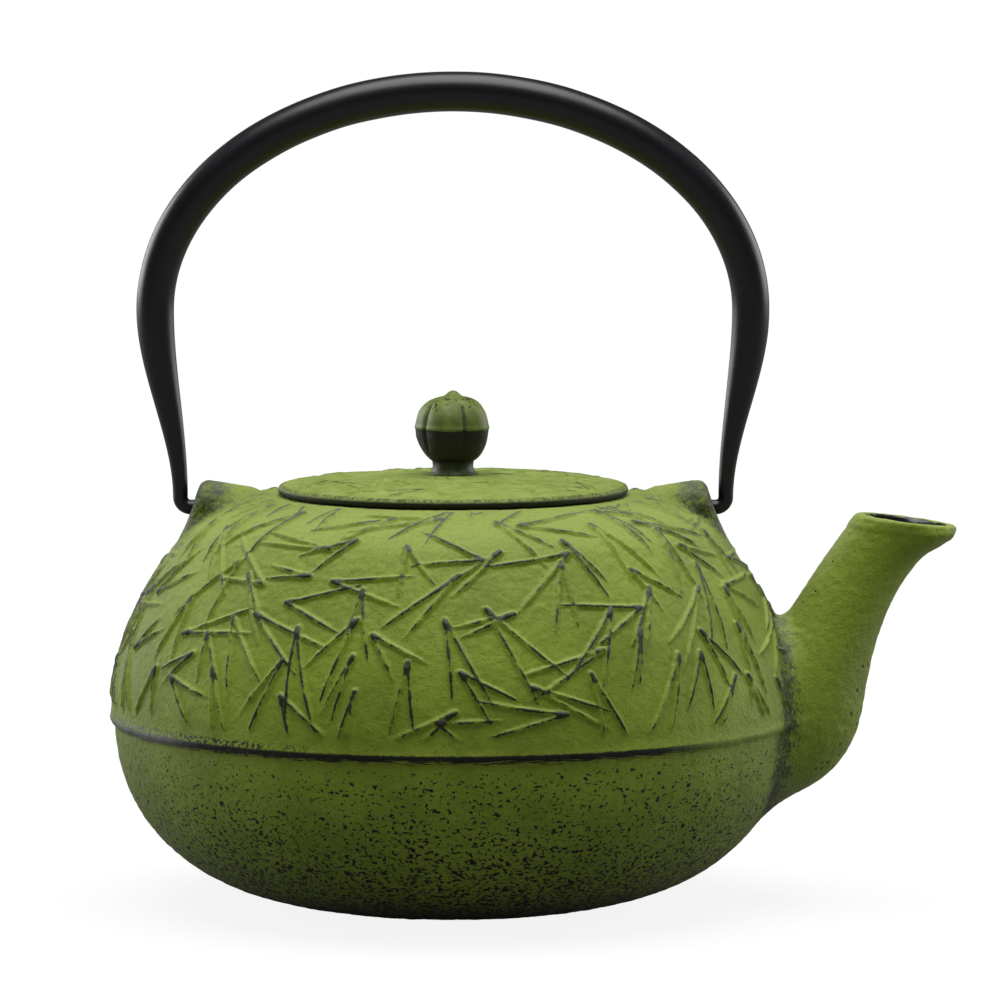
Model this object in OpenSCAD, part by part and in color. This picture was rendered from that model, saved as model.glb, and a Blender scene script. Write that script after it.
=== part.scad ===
// Cast iron teapot with a wire bail, a knobbed lid and a lift-out infuser.
// Millimetres, +Z up. The origin is the centre of the flat base, the spout points along +X,
// and the bail stands upright over the X axis.

/* [Pot] */
// Diameter over the casting seam, the widest part of the bowl
bowl_d = 176; // [170:1:184]
// Height of the mouth's rim above the table
mouth_h = 105; // [102:0.5:108]
// Height of the casting seam above the table
seam_h = 48; // [45:0.5:51]
// Diameter of the flat base
base_d = 60; // [52:1:68]
// Wall thickness of the casting
wall = 3; // [2.4:0.1:3.4]

/* [Spout] */
// Reach of the pouring lip from the pot's axis
spout_reach = 129.5; // [126:0.5:134]
// Length of the spout's mouth, from its back edge to the lip
spout_mouth_l = 26; // [24:0.5:28]
// Width of the spout's mouth
spout_mouth_w = 21; // [18:0.5:24]
// Width of the spout where it leaves the bowl
spout_root_w = 48; // [42:1:54]

/* [Lid] */
// Diameter over the lid's rounded rim
lid_d = 89.6; // [88:0.2:91]
// Height of the lid's top above its seat
lid_rise = 5; // [4:0.25:6]
// Depth of the skirt that keeps the lid in place
skirt_depth = 7; // [5:0.5:9]

/* [Knob] */
// Greatest diameter of the knob
knob_d = 18.7; // [16:0.1:21]
// Height of the knob above the lid
knob_h = 21.4; // [19:0.2:24]
// Diameter of the rivet that holds the knob
rivet_d = 5; // [4:0.25:6]

/* [Bail] */
// Width of the bail between its centre lines, at its widest
bail_w = 152; // [148:1:158]
// Height of the bail's centre line at its top
bail_top_h = 208; // [200:1:216]
// Thickness of the bail at its top
bail_d = 10.2; // [9:0.1:11]
// Thickness of the bail's hooked ends
pin_d = 3.8; // [3.4:0.1:4.2]
// Height of the hinge axis through the lugs
pivot_h = 101.8; // [101:0.1:102.5]

/* [Infuser] */
// Outside diameter of the infuser basket's wall
infuser_d = 74; // [66:1:75]
// Depth of the basket below the mouth
infuser_depth = 52; // [40:1:56]

/* [Hidden] */
$fn = 96;

// Gap between the pieces of different bodies that rest on each other
rest_gap = 0.1;
// Gap under the lid's rounded rim, where two rough castings meet
lid_gap = 0.25;
// Radial clearance of the bail's ends in the lugs, and of the rivet in the lid
running_gap = 0.08;
// How far a cutter runs past the face that it opens
past = 1;

bowl_r = bowl_d / 2;
base_r = base_d / 2;

// The seat in the mouth that takes the infuser's flange, and the neck below it
rim_r = lid_d / 2 + 1.2;
seat_r = rim_r - 4;
seat_depth = 1;
neck_r = seat_r - 2.5;
floor_t = wall + 1;

// The bead along the casting seam
bead_r = 1.6;
bead_h = seam_h + 0.6;

// Heights at which the casting is sliced into nodes
lower_top_h = seam_h - 1.6;
upper_top_h = mouth_h - 9.5;

// The lugs: a round-topped ear each, cut off by a cone that leans in towards the top
lug_r = 8.5;
lug_foot_w = 11;
lug_drop = 18;
lug_in = 50;
lug_len = 32;
lug_axis_h = mouth_h - 6.8;
lug_tilt = 9;
lug_face_r = 66.8;
lug_face_lean = 19;
lug_bore_len = 6.5;

// The spout's walls: the back, the belly below and the throat above it, side on as [x, z]
spout_n = 24;
spout_rings = 16;
belly_share = 0.4;
mouth_back = [spout_reach - spout_mouth_l, mouth_h - 4.7];
mouth_lip = [spout_reach, mouth_h - 8];
spout_back = [
    [bowl_r - 14, seam_h + 10], [bowl_r - 2, seam_h + 25], [bowl_r + 4, seam_h + 38], mouth_back
];
spout_belly = [
    [bowl_r - 16, seam_h - 22.5], [bowl_r + 4, seam_h - 22.5],
    [bowl_r + 14, seam_h - 12], [bowl_r + 16.6, seam_h]
];
spout_throat = [
    [bowl_r + 16.6, seam_h], [bowl_r + 20.5, seam_h + 16], [bowl_r + 23, seam_h + 32], mouth_lip
];
spout_widths = [spout_root_w / 2, 20, 9.5, spout_mouth_w / 2];

// The lid
lid_r = lid_d / 2;
lid_bead_r = 1.2;
lid_seat_h = mouth_h;
lid_top_h = lid_seat_h + lid_rise;
lid_t = 3.2;
skirt_t = 2.2;
skirt_r = infuser_d / 2 - 1.4;

// The knob, and the rivet and washer under it
knob_r = knob_d / 2;
knob_base_h = lid_top_h + lid_gap + rest_gap;
knob_neck_r = 5.4;
knob_bore_len = 9;
rivet_r = rivet_d / 2;
rivet_head_r = rivet_r + 2;
rivet_head_t = 1.6;
washer_r = rivet_r + 4.5;
washer_t = 1;
washer_top_h = lid_top_h - lid_t + lid_gap - rest_gap;

// The bail's path, as [x, z] on the right-hand side
pin_r = pin_d / 2;
pin_in = lug_face_r - lug_bore_len + 0.4;
hook_r = 2.6;
hook_x = lug_face_r + 0.4;
arch_r = bail_w / 2;
arch_h = 152.5;
bail_n = 16;
hook_steps = 5;
leg_steps = 9;
arch_steps = 26;

// The infuser basket
sheet = 0.6;
infuser_r = infuser_d / 2;
flange_h = mouth_h - seat_depth;
basket_h = mouth_h - infuser_depth;
collar_depth = 6;
band_h = 4;

// Point at t on the cubic curve with the four control points p
function bezier(p, t) =
    pow(1 - t, 3) * p[0] + 3 * t * pow(1 - t, 2) * p[1]
    + 3 * t * t * (1 - t) * p[2] + pow(t, 3) * p[3];

// The cubic curve with the control points p, as n + 1 points
function curve(p, n) = [for (i = [0 : n]) bezier(p, i / n)];

// A path moved sideways by d, towards its left
function beside(path, d) = [
    for (i = [0 : len(path) - 1])
        let (
            a = path[max(i - 1, 0)],
            b = path[min(i + 1, len(path) - 1)],
            along = (b - a) / norm(b - a)
        )
        path[i] + d * [-along[1], along[0]]
];

// 0 to 1, level at both ends
function ease(t) = let (c = min(max(t, 0), 1)) c * c * (3 - 2 * c);

// The outside of the bowl from its base to the mouth, in the two castings' halves
lower_outside = curve(
    [
        [base_r + 4, 1], [bowl_r - 20, seam_h - 45.5],
        [bowl_r - 2, seam_h - 25], [bowl_r - 1.3, seam_h - 1.6]
    ], 14);
shoulder = [bowl_r - 20, mouth_h - 9.5];
upper_outside = concat(
    curve(
        [
            [bowl_r - 0.4, seam_h + 3], [bowl_r - 0.8, seam_h + 18],
            [bowl_r - 9.5, mouth_h - 22], shoulder
        ], 12),
    curve([shoulder, shoulder + [-3.2, 3.8], [rim_r + 12, mouth_h - 1.6], [rim_r, mouth_h]], 9)
);
seam_bead = [
    for (a = [-75 : 15 : 60])
        [bowl_r - bead_r + bead_r * cos(a), bead_h + bead_r * sin(a)]
];

// Closed skin over rings of equal length, capped at both ends
module loft(rings) {
    n = len(rings[0]);
    last = len(rings) - 1;
    polyhedron(
        points = [for (ring = rings) each ring],
        faces = [
            [for (k = [0 : n - 1]) k],
            for (i = [0 : last - 1])
                for (k = [0 : n - 1])
                    each let (a = i * n + k, b = i * n + (k + 1) % n)
                    [[a, a + n, b], [b, a + n, b + n]],
            [for (k = [n - 1 : -1 : 0]) last * n + k]
        ],
        convexity = 4
    );
}

module bowl_outside() {
    rotate_extrude()
        polygon(concat(
            [[0, 0], [base_r, 0]], lower_outside, seam_bead, upper_outside, [[0, mouth_h]]
        ));
}

module bowl_hollow() {
    inside = concat(beside(lower_outside, wall), beside(upper_outside, wall));
    kept = [for (p = inside) if (p[0] > neck_r && p[1] > floor_t) p];
    rotate_extrude()
        polygon(concat(
            [[0, floor_t], [base_r, floor_t]], kept,
            [[neck_r, mouth_h - wall], [neck_r, flange_h], [seat_r, flange_h]],
            [[seat_r, mouth_h + past], [0, mouth_h + past]]
        ));
}

// Side wall of the spout at u, from 0 at its root to 1 at its mouth
function spout_front(u) =
    u < belly_share
        ? bezier(spout_belly, u / belly_share)
        : bezier(spout_throat, (u - belly_share) / (1 - belly_share));

// One oval ring of the spout at u, thinner than its outside by t and raised by up
function spout_ring(u, t, up) =
    let (
        back = bezier(spout_back, u),
        front = spout_front(u),
        mid = (back + front) / 2,
        half = (front - back) / 2,
        reach = half * (1 - t / norm(half)),
        width = bezier(spout_widths, u) - t
    )
    [
        for (k = [0 : spout_n - 1])
            let (a = 360 * k / spout_n)
            [mid[0] + reach[0] * cos(a), width * sin(a), mid[1] + reach[1] * cos(a) + up]
    ];

module spout_outside() {
    loft([for (i = [0 : spout_rings]) spout_ring(i / spout_rings, 0, 0)]);
}

module spout_bore() {
    t = wall * 0.85;
    loft(concat(
        [for (i = [0 : spout_rings]) spout_ring(i / spout_rings, t, 0)],
        [spout_ring(1, t, 2 * past)]
    ));
}

module lug() {
    intersection() {
        translate([lug_in, 0, lug_axis_h])
            rotate([0, -lug_tilt, 0])
                rotate([90, 0, 90])
                    linear_extrude(lug_len) {
                        circle(lug_r);
                        polygon([
                            [-lug_r, 0], [-lug_foot_w, -lug_drop],
                            [lug_foot_w, -lug_drop], [lug_r, 0]
                        ]);
                    }
        lug_face();
    }
}

module lug_face() {
    low = mouth_h - 26;
    high = mouth_h + 10;
    rotate_extrude()
        polygon([
            [bowl_r / 2, low],
            [lug_face_r + (pivot_h - low) * tan(lug_face_lean), low],
            [lug_face_r + (pivot_h - high) * tan(lug_face_lean), high],
            [bowl_r / 2, high]
        ]);
}

module lug_bore() {
    translate([lug_face_r - lug_bore_len, 0, pivot_h])
        rotate([0, 90, 0])
            cylinder(r = pin_r + running_gap, h = lug_bore_len + 12);
}

// The bowl with everything that opens it
module bowl() {
    difference() {
        bowl_outside();
        bowl_hollow();
        spout_bore();
        lug_bore();
        mirror([1, 0, 0]) lug_bore();
    }
}

// The casting is one piece of iron. Its nodes are slices of it that meet face to face,
// so that each one is a simple ring, disc or tube.
module slice(low, high) {
    color("#7a8c38")
        intersection() {
            bowl();
            translate([-bowl_d, -bowl_d, low]) cube([2 * bowl_d, 2 * bowl_d, high - low]);
        }
}

module pot_base() {
    slice(0, floor_t);
}

module pot_lower() {
    slice(floor_t, lower_top_h);
}

module pot_upper() {
    slice(lower_top_h, upper_top_h);
}

module pot_mouth() {
    slice(upper_top_h, mouth_h);
}

module pot_spout() {
    color("#7a8c38")
        difference() {
            spout_outside();
            bowl_outside();
            spout_bore();
        }
}

module pot_lug() {
    color("#5d6b33")
        difference() {
            lug();
            bowl_outside();
            lug_bore();
        }
}

module pot_lug_right() {
    pot_lug();
}

module pot_lug_left() {
    mirror([1, 0, 0]) pot_lug();
}

// The shallow domed lid, with a rounded rim and a locating skirt: one casting
module lid_casting() {
    top = curve(
        [
            [lid_r - lid_bead_r, lid_seat_h + 2 * lid_bead_r], [lid_r * 0.67, lid_top_h - 0.9],
            [lid_r * 0.3, lid_top_h], [0, lid_top_h]
        ], 12);
    bead = [
        for (a = [-90 : 15 : 75])
            [lid_r - lid_bead_r + lid_bead_r * cos(a), lid_seat_h + lid_bead_r * (1 + sin(a))]
    ];
    under = [
        [0, lid_top_h - lid_t], [washer_r + 2, lid_top_h - lid_t],
        [skirt_r - skirt_t - 1, lid_seat_h + 0.8],
        [skirt_r - skirt_t, lid_seat_h - skirt_depth], [skirt_r, lid_seat_h - skirt_depth],
        [skirt_r, lid_seat_h]
    ];
    translate([0, 0, lid_gap])
        difference() {
            rotate_extrude() polygon(concat(under, bead, top));
            translate([0, 0, lid_top_h - lid_t - past])
                cylinder(r = rivet_r + running_gap, h = lid_t + 2 * past);
        }
}

// Everything above the face where the lid's plate meets its skirt
module above_skirt() {
    translate([-lid_d, -lid_d, lid_seat_h + lid_gap]) cube([2 * lid_d, 2 * lid_d, 4 * lid_rise]);
}

module lid() {
    color("#92a35c")
        intersection() {
            lid_casting();
            above_skirt();
        }
}

module lid_skirt() {
    color("#92a35c")
        difference() {
            lid_casting();
            above_skirt();
        }
}

// The bud-shaped knob, with a blind hole for its rivet
module knob() {
    h = knob_base_h;
    foot = curve([[6.3, h], [5.2, h + 0.8], [5, h + 2.4], [knob_neck_r, h + 3.4]], 5);
    bulb_low = curve(
        [
            [knob_neck_r, h + 3.4], [knob_r - 2.2, h + 4.4],
            [knob_r, h + 7.6], [knob_r, h + knob_h * 0.54]
        ], 7);
    bulb_high = curve(
        [
            [knob_r, h + knob_h * 0.54], [knob_r, h + knob_h * 0.8],
            [knob_r - 2.4, h + knob_h - 0.8], [0, h + knob_h]
        ], 9);
    color("#4a552c")
        difference() {
            rotate_extrude() polygon(concat([[0, h]], foot, bulb_low, bulb_high));
            translate([0, 0, h - past])
                cylinder(r = rivet_r, h = knob_bore_len + past);
        }
}

// The rivet through the lid, headed over the washer
module knob_rivet() {
    head_h = washer_top_h - washer_t - rivet_head_t;
    tip_h = knob_base_h + knob_bore_len;
    color("#8d8d8a") {
        translate([0, 0, head_h]) cylinder(r = rivet_head_r, h = rivet_head_t);
        translate([0, 0, head_h]) cylinder(r = rivet_r, h = tip_h - head_h);
    }
}

module knob_washer() {
    color("#9a9a97")
        translate([0, 0, washer_top_h - washer_t])
            difference() {
                cylinder(r = washer_r, h = washer_t);
                translate([0, 0, -past]) cylinder(r = rivet_r, h = washer_t + 2 * past);
            }
}

// Radius of the bail at height z: thin at the hooks, full over the arch
function bail_r(z) =
    pin_r + (bail_d / 2 - 0.3 - pin_r) * ease((z - pivot_h - 2) / (arch_h - pivot_h - 2))
    + 0.3 * max(0, (z - arch_h) / (bail_top_h - arch_h));

// Half of the bail's path, from the hook in the right-hand lug to the top of the arch
hook_top = [hook_x + hook_r, pivot_h + hook_r];
half_path = concat(
    [for (i = [0 : hook_steps]) let (a = 90 * i / hook_steps)
        [hook_x + hook_r * sin(a), pivot_h + hook_r * (1 - cos(a))]],
    [for (i = [1 : leg_steps])
        bezier([hook_top, hook_top + [0, 16], [arch_r, arch_h - 16], [arch_r, arch_h]],
            i / leg_steps)],
    [for (i = [1 : arch_steps / 2]) let (a = 180 * i / arch_steps)
        [arch_r * cos(a), arch_h + (bail_top_h - arch_h) * sin(a)]]
);
bail_path = concat(
    half_path,
    [for (i = [len(half_path) - 2 : -1 : 0]) [-half_path[i][0], half_path[i][1]]]
);

// One round ring of the bail, square to its path
function bail_ring(i) =
    let (
        here = bail_path[i],
        a = bail_path[max(i - 1, 0)],
        b = bail_path[min(i + 1, len(bail_path) - 1)],
        along = i == 0 ? [1, 0] : i == len(bail_path) - 1 ? [1, 0] : (b - a) / norm(b - a),
        r = bail_r(here[1])
    )
    [
        for (k = [0 : bail_n - 1])
            let (t = 360 * k / bail_n)
            [
                here[0] + r * cos(t) * along[1], r * sin(t),
                here[1] - r * cos(t) * along[0]
            ]
    ];

module bail_pin() {
    translate([pin_in, 0, pivot_h])
        rotate([0, 90, 0])
            cylinder(r = pin_r, h = hook_x - pin_in + 0.3);
}

// The bail: one round bar, tapered to hooked ends that turn in the lugs
module handle() {
    color("#17171c")
        union() {
            loft([for (i = [0 : len(bail_path) - 1]) bail_ring(i)]);
            bail_pin();
            mirror([1, 0, 0]) bail_pin();
        }
}

// The infuser's spun flange and collar
module infuser_rim() {
    color("#c9c9c6")
        translate([0, 0, flange_h + rest_gap / 2])
            rotate_extrude()
                polygon([
                    [infuser_r, 0], [seat_r - 0.6, 0], [seat_r - 0.6, sheet],
                    [infuser_r - sheet, sheet], [infuser_r - sheet, -collar_depth + sheet],
                    [infuser_r, -collar_depth + sheet]
                ]);
}

module infuser_wall() {
    top = flange_h + rest_gap / 2 - collar_depth + sheet;
    color("#b9bab8")
        difference() {
            translate([0, 0, basket_h]) cylinder(r = infuser_r, h = top - basket_h);
            translate([0, 0, basket_h - past])
                cylinder(r = infuser_r - sheet, h = top - basket_h + 2 * past);
        }
}

module infuser_base() {
    color("#b9bab8")
        translate([0, 0, basket_h]) cylinder(r = infuser_r - sheet, h = sheet);
}

// The band that ties the base to the wall
module infuser_base_ring() {
    color("#c9c9c6")
        difference() {
            translate([0, 0, basket_h - sheet]) cylinder(r = infuser_r + sheet, h = band_h);
            translate([0, 0, basket_h]) cylinder(r = infuser_r, h = band_h);
            translate([0, 0, basket_h - sheet - past])
                cylinder(r = infuser_r - 3, h = band_h);
        }
}

pot_base();
pot_lower();
pot_upper();
pot_mouth();
pot_spout();
pot_lug_left();
pot_lug_right();
lid();
lid_skirt();
knob();
knob_rivet();
knob_washer();
handle();
infuser_rim();
infuser_wall();
infuser_base();
infuser_base_ring();
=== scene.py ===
"""A cast iron teapot: green painted castings, a black steel bail and a lift-out infuser."""
import math

import bmesh
import bpy
import numpy as np
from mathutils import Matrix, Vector


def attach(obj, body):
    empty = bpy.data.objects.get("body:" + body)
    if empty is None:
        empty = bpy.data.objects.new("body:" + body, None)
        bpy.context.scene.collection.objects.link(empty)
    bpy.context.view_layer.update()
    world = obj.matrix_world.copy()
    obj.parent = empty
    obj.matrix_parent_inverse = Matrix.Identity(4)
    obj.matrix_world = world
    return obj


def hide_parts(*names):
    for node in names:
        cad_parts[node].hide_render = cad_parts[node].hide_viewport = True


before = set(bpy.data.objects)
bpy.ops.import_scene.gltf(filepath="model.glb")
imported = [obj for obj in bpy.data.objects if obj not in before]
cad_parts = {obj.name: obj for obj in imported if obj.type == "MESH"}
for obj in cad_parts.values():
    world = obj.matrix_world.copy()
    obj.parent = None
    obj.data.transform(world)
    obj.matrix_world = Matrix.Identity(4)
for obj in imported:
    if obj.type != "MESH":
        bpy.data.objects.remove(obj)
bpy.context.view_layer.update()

MM = 0.001

# ---------------------------------------------------------------------------
# Sizes in millimetres. They are the CAD model's, but for the spout's throat, which is up to
# 1.5 mm slimmer here, and the chin under its lip, which CAD hasn't
# ---------------------------------------------------------------------------
BOWL_R = 88
BASE_R = 30
SEAM_H = 48
MOUTH_H = 105
WALL = 3
RIM_R = 46
SEAT_R = 42
NECK_R = 39.5
FLOOR_T = 4
BEAD_R = 1.6
BEAD_H = SEAM_H + 0.6
SEAM_WEAR_H = 47.4

LOWER_OUTSIDE = [
    (BASE_R + 4, 1), (BOWL_R - 20, SEAM_H - 45.5), (BOWL_R - 2, SEAM_H - 25),
    (BOWL_R - 1.3, SEAM_H - 1.6)
]
UPPER_OUTSIDE = [
    (BOWL_R - 0.4, SEAM_H + 3), (BOWL_R - 0.8, SEAM_H + 18), (BOWL_R - 9.5, MOUTH_H - 22),
    (BOWL_R - 20, MOUTH_H - 9.5)
]
SHOULDER = [
    (BOWL_R - 20, MOUTH_H - 9.5), (BOWL_R - 23.2, MOUTH_H - 5.7), (RIM_R + 12, MOUTH_H - 1.6),
    (RIM_R, MOUTH_H)
]

SPOUT_BACK = [(74, 58), (86, 73), (92, 86), (103.5, 100.3)]
SPOUT_BELLY = [(72, 25.5), (92, 25.5), (102, 36), (104.6, 48)]
SPOUT_THROAT = [(104.6, 48), (107.2, 64), (108.8, 81), (128.7, 97)]
SPOUT_HALF_WIDTH = [(24,), (20,), (9.5,), (10.5,)]
BELLY_SHARE = 0.4
SPOUT_WALL = 2.55
LIP_BEAD = 0.3
LIP_BEAD_DEPTH = 4
LIP_CHIN = 2.3
LIP_END_X = 129.3
LIP_END_H = 97.2
LIP_END_LEAN = math.radians(22)
SPOUT_FILLET = 7
LUG_FILLET = 2.6
BORE_FILLET = 3

LUG_R = 8.5
LUG_FOOT = 11
LUG_DROP = 18
LUG_IN = 50
LUG_AXIS_H = 98.2
LUG_TILT = math.radians(9)
LUG_FACE_R = 66.8
LUG_FACE_LEAN = math.radians(19)
PIVOT_H = 101.8
PIN_R = 1.9
HOLE_R = 1.98
HOLE_IN = 60.3

LID_R = 44.8
LID_BEAD_R = 1.2
LID_TOP_H = 110
LID_T = 3.2
LID_GAP = 0.25
SKIRT_R = 35.6
SKIRT_T = 2.2
SKIRT_LOW_H = 98
RIVET_R = 2.5
WASHER_R = 7

KNOB_R = 9.35
KNOB_H = 21.4
KNOB_FOOT_H = LID_TOP_H + LID_GAP + 0.1
KNOB_PARTING_H = KNOB_FOOT_H + 11.56
KNOB_PETALS = 5

ARCH_R = 76
ARCH_H = 152.5
BAIL_TOP_H = 208
BAIL_R = 4.8
HOOK_R = 2.6
HOOK_X = 67.2
PIN_IN = 60.7

INFUSER_R = 37
SHEET = 0.6
BASKET_H = 53
FLANGE_H = 104.05
COLLAR_DEPTH = 6
BAND_H = 4


# ---------------------------------------------------------------------------
# Small helpers for curves, blends and noise
# ---------------------------------------------------------------------------
def bezier(points, t):
    """Points at t along the cubic curve with four control points"""
    a, b, c, d = np.array(points, float)
    t = np.asarray(t, float)[..., None]
    return (1 - t) ** 3 * a + 3 * t * (1 - t) ** 2 * b + 3 * t * t * (1 - t) * c + t ** 3 * d


def curve(points, n):
    """The whole cubic curve as n even steps"""
    return bezier(points, np.linspace(0, 1, n + 1))


def ease(low, high, x):
    """0 below low, 1 above high, level at both ends"""
    t = np.clip((x - low) / (high - low), 0, 1)
    return t * t * (3 - 2 * t)


def round_min(a, b, k):
    """The smaller of two distances, with a fillet about k mm wide where they meet"""
    h = np.clip(0.5 + 0.5 * (b - a) / k, 0, 1)
    return b + (a - b) * h - k * h * (1 - h)


def round_max(a, b, k):
    """The larger of two distances, with an edge rounded about k mm"""
    return -round_min(-a, -b, k)


def sand(points, size, seed):
    """Smooth noise from -1 to 1 with lumps of the given size in mm"""
    cells = points / size
    corner0 = np.floor(cells).astype(np.int64)
    t = cells - corner0
    t = t * t * (3 - 2 * t)
    total = np.zeros(len(points))
    for corner in np.ndindex(2, 2, 2):
        key = (corner0 + corner) @ np.array([73856093, 19349663, 83492791]) + seed * 7919
        key = (key ^ (key >> 13)) * 1274126177
        key = (key ^ (key >> 16)) & 65535
        weight = np.prod(np.where(np.array(corner) == 1, t, 1 - t), axis=1)
        total += (key / 32767.5 - 1) * weight
    return total


def look_up(table, low, step, a, b):
    """The table's value at (a, b), read between its points"""
    i = np.clip((a - low[0]) / step, 0, table.shape[0] - 1.001)
    j = np.clip((b - low[1]) / step, 0, table.shape[1] - 1.001)
    i0 = i.astype(int)
    j0 = j.astype(int)
    fi = i - i0
    fj = j - j0
    near = table[i0, j0] * (1 - fi) + table[i0 + 1, j0] * fi
    far = table[i0, j0 + 1] * (1 - fi) + table[i0 + 1, j0 + 1] * fi
    return near * (1 - fj) + far * fj


# ---------------------------------------------------------------------------
# The pot's casting as a signed distance in mm: below 0 in the iron
# ---------------------------------------------------------------------------
TABLE_STEP = 0.4
ROUND_LOW = (0, -6)
ROUND_HIGH = (104, 116)
SIDE_LOW = (64, 14)
SIDE_HIGH = (142, 116)


def grid_points(low, high, step):
    """The two coordinates of a flat grid's points"""
    return np.meshgrid(
        np.arange(low[0], high[0], step), np.arange(low[1], high[1], step), indexing="ij"
    )


def outline_distance(outline):
    """Table of the distance to a closed outline of (r, z) points, below 0 inside it"""
    a, b = grid_points(ROUND_LOW, ROUND_HIGH, TABLE_STEP)
    nearest = np.full(a.shape, 1e9)
    inside = np.zeros(a.shape, bool)
    for (x0, z0), (x1, z1) in zip(outline, np.roll(outline, -1, axis=0)):
        dx = x1 - x0
        dz = z1 - z0
        t = np.clip(((a - x0) * dx + (b - z0) * dz) / (dx * dx + dz * dz), 0, 1)
        nearest = np.minimum(nearest, np.hypot(a - x0 - t * dx, b - z0 - t * dz))
        if dz:
            inside ^= ((z0 > b) != (z1 > b)) & (a < x0 + dx * (b - z0) / dz)
    return np.where(inside, -nearest, nearest)


def beside(path, d):
    """The path moved sideways by d, towards its left"""
    along = np.gradient(path, axis=0)
    along /= np.linalg.norm(along, axis=1)[:, None]
    return path + d * np.stack([-along[:, 1], along[:, 0]], axis=1)


def bowl_outlines():
    """The bowl's outside and its hollow. Both run past the axis, which isn't a surface"""
    past_axis = -12
    lower = curve(LOWER_OUTSIDE, 40)
    upper = np.vstack([curve(UPPER_OUTSIDE, 36), curve(SHOULDER, 30)[1:]])
    a = np.radians(np.linspace(-75, 30, 13))
    bead = np.stack(
        [BOWL_R - BEAD_R + BEAD_R * np.cos(a), BEAD_H + BEAD_R * np.sin(a)], axis=1
    )
    outside = np.vstack([
        [(past_axis, 0), (BASE_R, 0)], lower, bead, upper, [(past_axis, MOUTH_H)]
    ])
    inner = np.vstack([beside(lower, WALL), beside(upper, WALL)])
    inner = inner[(inner[:, 0] > NECK_R) & (inner[:, 1] > FLOOR_T)]
    hollow = np.vstack([
        [(past_axis, FLOOR_T), (BASE_R, FLOOR_T)], inner,
        [(NECK_R, MOUTH_H - WALL), (NECK_R, MOUTH_H - 1), (SEAT_R, MOUTH_H - 1)],
        [(SEAT_R, MOUTH_H + 6), (past_axis, MOUTH_H + 6)],
    ])
    return outside, hollow


def spout_sections(u):
    """Back and front ends and half width of the spout's oval at u, 0 at the root to 1 at the lip"""
    back = bezier(SPOUT_BACK, u)
    belly = bezier(SPOUT_BELLY, np.minimum(u / BELLY_SHARE, 1))
    throat = bezier(SPOUT_THROAT, np.clip((u - BELLY_SHARE) / (1 - BELLY_SHARE), 0, 1))
    front = np.where((u < BELLY_SHARE)[:, None], belly, throat)
    return back, front, bezier(SPOUT_HALF_WIDTH, u)[:, 0]


def spout_share_table():
    """Table of the u whose oval passes through each (x, z)"""
    a, b = grid_points(SIDE_LOW, SIDE_HIGH, TABLE_STEP)
    n = 160
    back, front, _ = spout_sections(np.linspace(0, 1, n + 1))
    share = np.zeros(a.shape)
    before = None
    for k in range(n + 1):
        dx, dz = front[k] - back[k]
        side = dx * (b - back[k][1]) - dz * (a - back[k][0])
        if k == 0:
            share[side > 0] = 1
        else:
            crossed = (before > 0) & (side <= 0)
            share[crossed] = (k - 1 + before[crossed] / (before - side)[crossed]) / n
        before = side
    return share


OUTSIDE_OUTLINE, HOLLOW_OUTLINE = bowl_outlines()
OUTSIDE_TABLE = outline_distance(OUTSIDE_OUTLINE)
HOLLOW_TABLE = outline_distance(HOLLOW_OUTLINE)
SHARE_TABLE = spout_share_table()
SHARES = np.linspace(0, 1, 201)
BACKS, FRONTS, HALF_WIDTHS = spout_sections(SHARES)


def oval_distance(a, b, ra, rb):
    """Distance to an oval with half axes ra and rb, close to true near its edge"""
    k0 = np.hypot(a / ra, b / rb)
    k1 = np.hypot(a / ra ** 2, b / rb ** 2)
    return k0 * (k0 - 1) / np.maximum(k1, 1e-6)


def spout_distances(x, y, z):
    """Distances to the spout's outside and to its bore"""
    u = look_up(SHARE_TABLE, SIDE_LOW, TABLE_STEP, x, z)
    back_x = np.interp(u, SHARES, BACKS[:, 0])
    back_z = np.interp(u, SHARES, BACKS[:, 1])
    half_x = (np.interp(u, SHARES, FRONTS[:, 0]) - back_x) / 2
    half_z = (np.interp(u, SHARES, FRONTS[:, 1]) - back_z) / 2
    half = np.hypot(half_x, half_z)
    width = np.interp(u, SHARES, HALF_WIDTHS)
    across = ((x - back_x - half_x) * half_x + (z - back_z - half_z) * half_z) / half
    mouth = FRONTS[-1] - BACKS[-1]
    mouth /= np.hypot(*mouth)
    above = -(x - BACKS[-1][0]) * mouth[1] + (z - BACKS[-1][1]) * mouth[0]
    bead = LIP_BEAD * ease(-LIP_BEAD_DEPTH, 1.5 - LIP_BEAD_DEPTH, above)
    chin = LIP_CHIN * ease(-10, -3, above) * (1 - 0.75 * ease(-2.5, 0, above))
    bead = bead + chin * ease(0.1, 0.9, across / half)
    outside = oval_distance(across, y, half, width) - bead
    blunt = math.cos(LIP_END_LEAN) * (x - LIP_END_X) - math.sin(LIP_END_LEAN) * (z - LIP_END_H)
    outside = round_max(round_max(outside, blunt, 0.8), above, 1.0)
    bore = oval_distance(across, y, half - SPOUT_WALL, width - SPOUT_WALL)
    bore = np.maximum(bore, above - 3)
    far = np.where(x < SIDE_LOW[0], 30.0, 0.0)
    return outside + far, bore + far


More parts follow.
